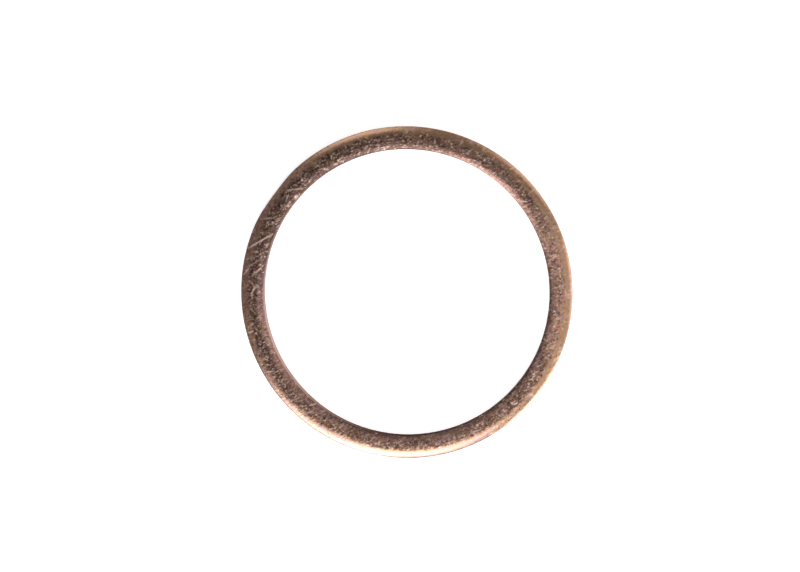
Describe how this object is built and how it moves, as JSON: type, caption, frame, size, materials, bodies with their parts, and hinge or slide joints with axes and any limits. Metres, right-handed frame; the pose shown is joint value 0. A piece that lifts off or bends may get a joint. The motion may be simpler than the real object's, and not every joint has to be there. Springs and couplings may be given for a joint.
{
  "type": "flat sealing washer",
  "caption": "Flat copper sealing washer: a thin solid ring with a wide bore, a die-rolled upper face and a flat lower face.",
  "frame": {"origin": "centre of the bore on the flat lower face", "axes": "+Z along the bore axis, from the flat lower face towards the die-rolled upper face; X and Y are equivalent, because the ring is round"},
  "size_m": [0.044, 0.044, 0.002],
  "materials": {
    "copper": "soft copper, tumbled and lightly tarnished, satin"
  },
  "bodies": {
    "root": {"sealing_ring": "copper"}
  },
  "joints": []
}
